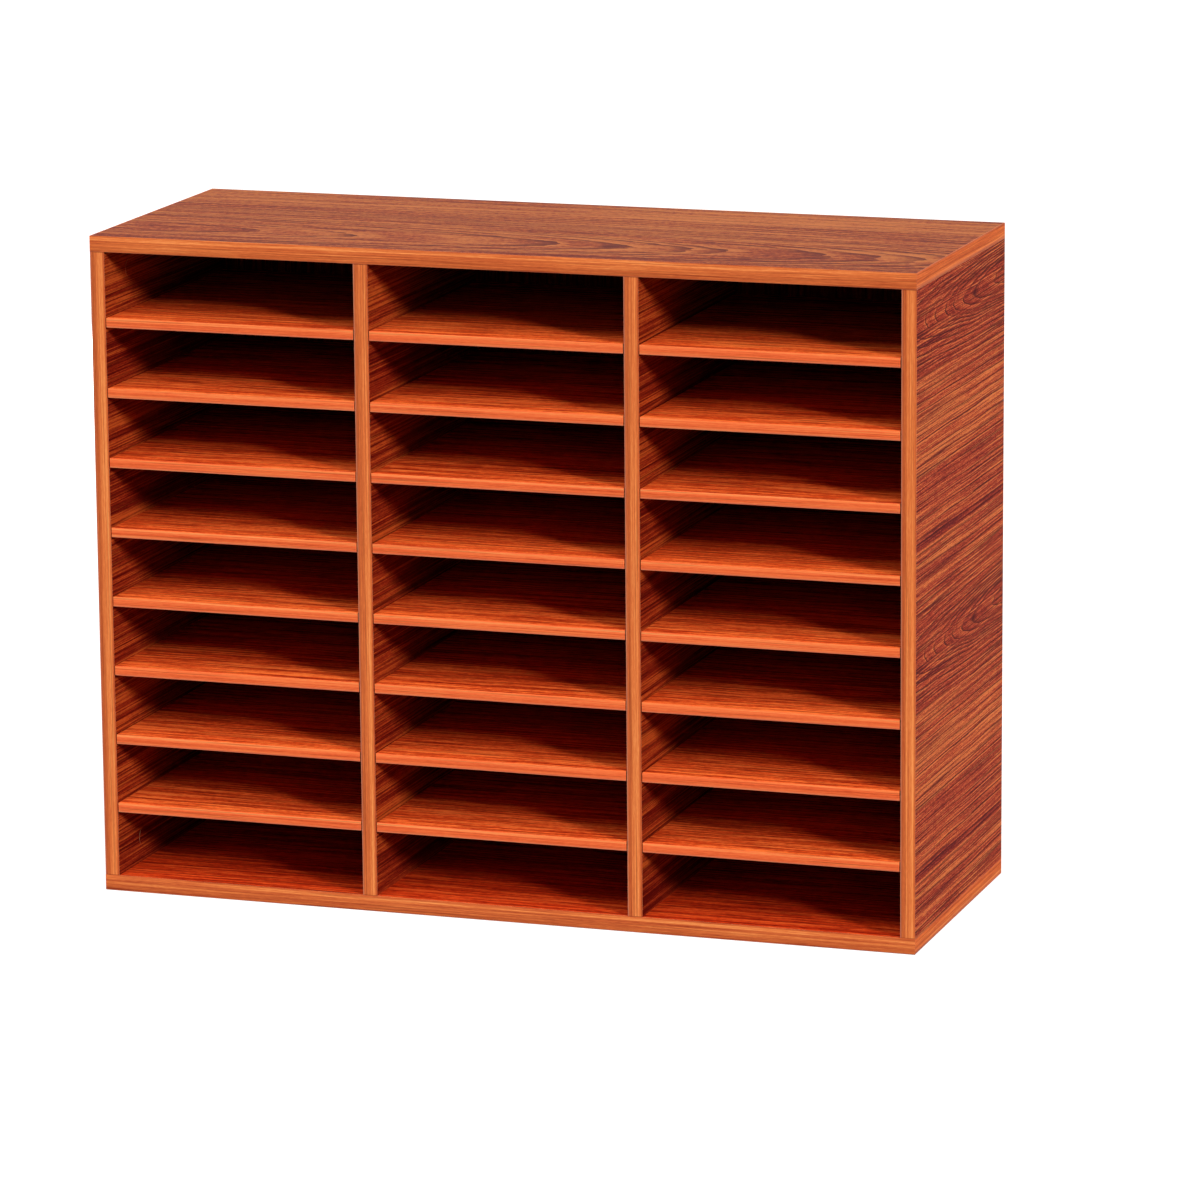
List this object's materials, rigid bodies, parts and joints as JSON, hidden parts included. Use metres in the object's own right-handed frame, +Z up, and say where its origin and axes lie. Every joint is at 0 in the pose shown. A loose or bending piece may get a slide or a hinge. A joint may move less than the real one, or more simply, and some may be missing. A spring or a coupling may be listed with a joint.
{
  "type": "literature organizer",
  "caption": "Open-fronted literature organizer in reddish wood grain: upright columns of wide, flat compartments between loose shelves that rest on pins.",
  "frame": {"origin": "middle of the footprint at floor level", "axes": "+X to the right along the longest side, +Y to the back, +Z up; the open front faces -Y"},
  "size_m": [0.8, 0.305, 0.63],
  "materials": {
    "wood_board": "satin",
    "shelf_board": "satin",
    "back_board": "satin",
    "edge_band": "satin",
    "cover_film": "satin",
    "dowel_wood": "matte",
    "pin_plastic": "satin",
    "zinc": "satin",
    "steel": "satin"
  },
  "bodies": {
    "case": {"top_panel": "wood_board", "bottom_panel": "wood_board", "left_side_panel": "wood_board", "divider_left_middle": "wood_board", "divider_middle_right": "wood_board", "right_side_panel": "wood_board", "back_panel_left": "back_board", "back_panel_middle": "back_board", "back_panel_right": "back_board", "top_front_band": "edge_band", "top_left_band": "edge_band", "top_right_band": "edge_band", "bottom_front_band": "edge_band", "bottom_left_band": "edge_band", "bottom_right_band": "edge_band", "left_side_panel_band": "edge_band", "divider_left_middle_band": "edge_band", "divider_middle_right_band": "edge_band", "right_side_panel_band": "edge_band", "shelf_pins": "pin_plastic", "cam_locks": "zinc", "cam_bolts": "steel", "cam_covers": "cover_film", "dowels": "dowel_wood"},
    "shelf_left_1": {"shelf_left_1": "shelf_board"},
    "shelf_left_2": {"shelf_left_2": "shelf_board"},
    "shelf_left_3": {"shelf_left_3": "shelf_board"},
    "shelf_left_4": {"shelf_left_4": "shelf_board"},
    "shelf_left_5": {"shelf_left_5": "shelf_board"},
    "shelf_left_6": {"shelf_left_6": "shelf_board"},
    "shelf_left_7": {"shelf_left_7": "shelf_board"},
    "shelf_left_8": {"shelf_left_8": "shelf_board"},
    "shelf_middle_1": {"shelf_middle_1": "shelf_board"},
    "shelf_middle_2": {"shelf_middle_2": "shelf_board"},
    "shelf_middle_3": {"shelf_middle_3": "shelf_board"},
    "shelf_middle_4": {"shelf_middle_4": "shelf_board"},
    "shelf_middle_5": {"shelf_middle_5": "shelf_board"},
    "shelf_middle_6": {"shelf_middle_6": "shelf_board"},
    "shelf_middle_7": {"shelf_middle_7": "shelf_board"},
    "shelf_middle_8": {"shelf_middle_8": "shelf_board"},
    "shelf_right_1": {"shelf_right_1": "shelf_board"},
    "shelf_right_2": {"shelf_right_2": "shelf_board"},
    "shelf_right_3": {"shelf_right_3": "shelf_board"},
    "shelf_right_4": {"shelf_right_4": "shelf_board"},
    "shelf_right_5": {"shelf_right_5": "shelf_board"},
    "shelf_right_6": {"shelf_right_6": "shelf_board"},
    "shelf_right_7": {"shelf_right_7": "shelf_board"},
    "shelf_right_8": {"shelf_right_8": "shelf_board"}
  },
  "joints": [
    {"name": "shelf_left_1_slide", "type": "slide", "parent": "case", "child": "shelf_left_1", "axis": [0, -1, 0], "range_m": [0, 0.3]},
    {"name": "shelf_left_2_slide", "type": "slide", "parent": "case", "child": "shelf_left_2", "axis": [0, -1, 0], "range_m": [0, 0.3]},
    {"name": "shelf_left_3_slide", "type": "slide", "parent": "case", "child": "shelf_left_3", "axis": [0, -1, 0], "range_m": [0, 0.3]},
    {"name": "shelf_left_4_slide", "type": "slide", "parent": "case", "child": "shelf_left_4", "axis": [0, -1, 0], "range_m": [0, 0.3]},
    {"name": "shelf_left_5_slide", "type": "slide", "parent": "case", "child": "shelf_left_5", "axis": [0, -1, 0], "range_m": [0, 0.3]},
    {"name": "shelf_left_6_slide", "type": "slide", "parent": "case", "child": "shelf_left_6", "axis": [0, -1, 0], "range_m": [0, 0.3]},
    {"name": "shelf_left_7_slide", "type": "slide", "parent": "case", "child": "shelf_left_7", "axis": [0, -1, 0], "range_m": [0, 0.3]},
    {"name": "shelf_left_8_slide", "type": "slide", "parent": "case", "child": "shelf_left_8", "axis": [0, -1, 0], "range_m": [0, 0.3]},
    {"name": "shelf_middle_1_slide", "type": "slide", "parent": "case", "child": "shelf_middle_1", "axis": [0, -1, 0], "range_m": [0, 0.3]},
    {"name": "shelf_middle_2_slide", "type": "slide", "parent": "case", "child": "shelf_middle_2", "axis": [0, -1, 0], "range_m": [0, 0.3]},
    {"name": "shelf_middle_3_slide", "type": "slide", "parent": "case", "child": "shelf_middle_3", "axis": [0, -1, 0], "range_m": [0, 0.3]},
    {"name": "shelf_middle_4_slide", "type": "slide", "parent": "case", "child": "shelf_middle_4", "axis": [0, -1, 0], "range_m": [0, 0.3]},
    {"name": "shelf_middle_5_slide", "type": "slide", "parent": "case", "child": "shelf_middle_5", "axis": [0, -1, 0], "range_m": [0, 0.3]},
    {"name": "shelf_middle_6_slide", "type": "slide", "parent": "case", "child": "shelf_middle_6", "axis": [0, -1, 0], "range_m": [0, 0.3]},
    {"name": "shelf_middle_7_slide", "type": "slide", "parent": "case", "child": "shelf_middle_7", "axis": [0, -1, 0], "range_m": [0, 0.3]},
    {"name": "shelf_middle_8_slide", "type": "slide", "parent": "case", "child": "shelf_middle_8", "axis": [0, -1, 0], "range_m": [0, 0.3]},
    {"name": "shelf_right_1_slide", "type": "slide", "parent": "case", "child": "shelf_right_1", "axis": [0, -1, 0], "range_m": [0, 0.3]},
    {"name": "shelf_right_2_slide", "type": "slide", "parent": "case", "child": "shelf_right_2", "axis": [0, -1, 0], "range_m": [0, 0.3]},
    {"name": "shelf_right_3_slide", "type": "slide", "parent": "case", "child": "shelf_right_3", "axis": [0, -1, 0], "range_m": [0, 0.3]},
    {"name": "shelf_right_4_slide", "type": "slide", "parent": "case", "child": "shelf_right_4", "axis": [0, -1, 0], "range_m": [0, 0.3]},
    {"name": "shelf_right_5_slide", "type": "slide", "parent": "case", "child": "shelf_right_5", "axis": [0, -1, 0], "range_m": [0, 0.3]},
    {"name": "shelf_right_6_slide", "type": "slide", "parent": "case", "child": "shelf_right_6", "axis": [0, -1, 0], "range_m": [0, 0.3]},
    {"name": "shelf_right_7_slide", "type": "slide", "parent": "case", "child": "shelf_right_7", "axis": [0, -1, 0], "range_m": [0, 0.3]},
    {"name": "shelf_right_8_slide", "type": "slide", "parent": "case", "child": "shelf_right_8", "axis": [0, -1, 0], "range_m": [0, 0.3]}
  ]
}
